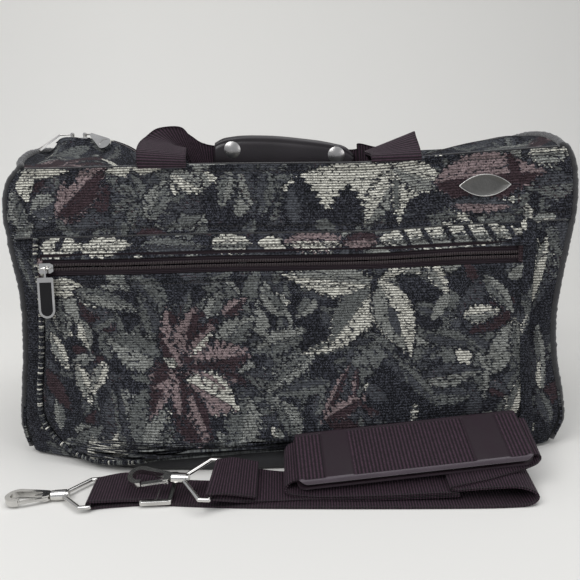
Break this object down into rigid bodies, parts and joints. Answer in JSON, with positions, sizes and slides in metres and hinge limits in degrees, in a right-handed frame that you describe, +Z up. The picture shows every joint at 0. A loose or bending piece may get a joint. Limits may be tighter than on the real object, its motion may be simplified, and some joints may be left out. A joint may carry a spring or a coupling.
{
  "type": "carpet bag",
  "caption": "Soft zipped tapestry bag with a zipped front pocket, snap grip on its carrying handles and a detached shoulder strap with pad and snap hooks.",
  "frame": {"origin": "centre of the bag's underside, on the surface it stands on", "axes": "+X along the bag to the right seen from its front, -Y out of its front with the pocket, +Z up"},
  "size_m": [0.5286, 0.3738, 0.3045],
  "materials": {
    "tapestry": "woven tapestry",
    "binding": "tapestry over cord",
    "base_cloth": "plain dark cloth",
    "webbing": "ribbed webbing",
    "vinyl": "fine-grained vinyl",
    "zip_tape": "twill tape",
    "zip_coil": "nylon coil",
    "nickel": "polished nickel",
    "rubber": "moulded, satin",
    "inlay": "gloss enamel",
    "board": "plain"
  },
  "bodies": {
    "bag": {"back_gusset": "tapestry", "back_handle_web": "webbing", "back_panel": "tapestry", "badge_plate": "nickel", "base_board": "board", "base_panel": "base_cloth", "front_gusset": "tapestry", "front_handle_web": "webbing", "front_panel": "tapestry", "front_yoke": "tapestry", "grip_wrap": "vinyl", "left_end_panel": "tapestry", "left_hook_ring": "nickel", "left_piping": "binding", "left_ring_tab": "webbing", "left_snap_cap": "nickel", "main_back_coil": "zip_coil", "main_back_tape": "zip_tape", "main_front_coil": "zip_coil", "main_front_tape": "zip_tape", "pocket_binding": "binding", "pocket_lower_coil": "zip_coil", "pocket_lower_tape": "zip_tape", "pocket_panel": "tapestry", "pocket_top_strip": "tapestry", "pocket_upper_coil": "zip_coil", "pocket_upper_tape": "zip_tape", "right_end_panel": "tapestry", "right_hook_ring": "nickel", "right_piping": "binding", "right_ring_tab": "webbing", "right_snap_cap": "nickel", "shoulder_pad": "rubber", "strap_adjuster": "nickel", "strap_web": "webbing"},
    "pocket_slider": {"pocket_slider": "nickel"},
    "pocket_pull": {"pocket_pull": "nickel", "pocket_pull_inlay": "inlay"},
    "main_left_slider": {"main_left_slider": "nickel"},
    "main_left_pull": {"main_left_pull": "nickel"},
    "main_right_slider": {"main_right_slider": "nickel"},
    "main_right_pull": {"main_right_pull": "nickel"},
    "left_end_ring": {"left_end_ring": "nickel"},
    "right_end_ring": {"right_end_ring": "nickel"},
    "left_hook": {"left_hook_body": "nickel", "left_gate_pin": "nickel"},
    "left_gate": {"left_hook_gate": "nickel"},
    "right_hook": {"right_hook_body": "nickel", "right_gate_pin": "nickel"},
    "right_gate": {"right_hook_gate": "nickel"}
  },
  "joints": [
    {"name": "pocket_slide", "type": "slide", "parent": "bag", "child": "pocket_slider", "axis": [1, 0, 0], "range_m": [0, 0.414]},
    {"name": "pocket_pull_swing", "type": "hinge", "parent": "pocket_slider", "child": "pocket_pull", "pos_m": [-0.214, -0.13332, 0.18377], "axis": [-1, 0, 0], "range_deg": [0, 165]},
    {"name": "main_left_slide", "type": "slide", "parent": "bag", "child": "main_left_slider", "axis": [0.9996, 0, -0.0297], "range_m": [-0.006, 0]},
    {"name": "main_left_pull_swing", "type": "hinge", "parent": "main_left_slider", "child": "main_left_pull", "pos_m": [-0.22482, 0, 0.30238], "axis": [0, 1, 0], "range_deg": [0, 90]},
    {"name": "main_right_slide", "type": "slide", "parent": "bag", "child": "main_right_slider", "axis": [0.9996, 0, -0.0297], "range_m": [0, 0.4153]},
    {"name": "main_right_pull_swing", "type": "hinge", "parent": "main_right_slider", "child": "main_right_pull", "pos_m": [-0.21142, 0, 0.30198], "axis": [0, -1, 0], "range_deg": [0, 90]},
    {"name": "left_end_ring_swing", "type": "hinge", "parent": "bag", "child": "left_end_ring", "pos_m": [-0.2602, 0, 0.236], "axis": [0, 1, 0], "range_deg": [0, 150]},
    {"name": "right_end_ring_swing", "type": "hinge", "parent": "bag", "child": "right_end_ring", "pos_m": [0.2602, 0, 0.236], "axis": [0, -1, 0], "range_deg": [0, 150]},
    {"name": "left_hook_swivel", "type": "hinge", "parent": "bag", "child": "left_hook", "pos_m": [-0.18952, -0.21153, 0.0047], "axis": [0.9945, 0.1045, 0], "continuous": true},
    {"name": "left_gate_swing", "type": "hinge", "parent": "left_hook", "child": "left_gate", "pos_m": [-0.20013, -0.21586, 0.0047], "axis": [0, 0, 1], "range_deg": [-24, 0], "stiffness_Nm_per_rad": 0.05, "springref_deg": 11.46},
    {"name": "right_hook_swivel", "type": "hinge", "parent": "bag", "child": "right_hook", "pos_m": [-0.08652, -0.21139, 0.0187], "axis": [0.9962, -0.0872, 0], "continuous": true},
    {"name": "right_gate_swing", "type": "hinge", "parent": "right_hook", "child": "right_gate", "pos_m": [-0.09774, -0.21351, 0.01787], "axis": [-0.0226, -0.2578, 0.9659], "range_deg": [-24, 0], "stiffness_Nm_per_rad": 0.05, "springref_deg": 11.46}
  ]
}
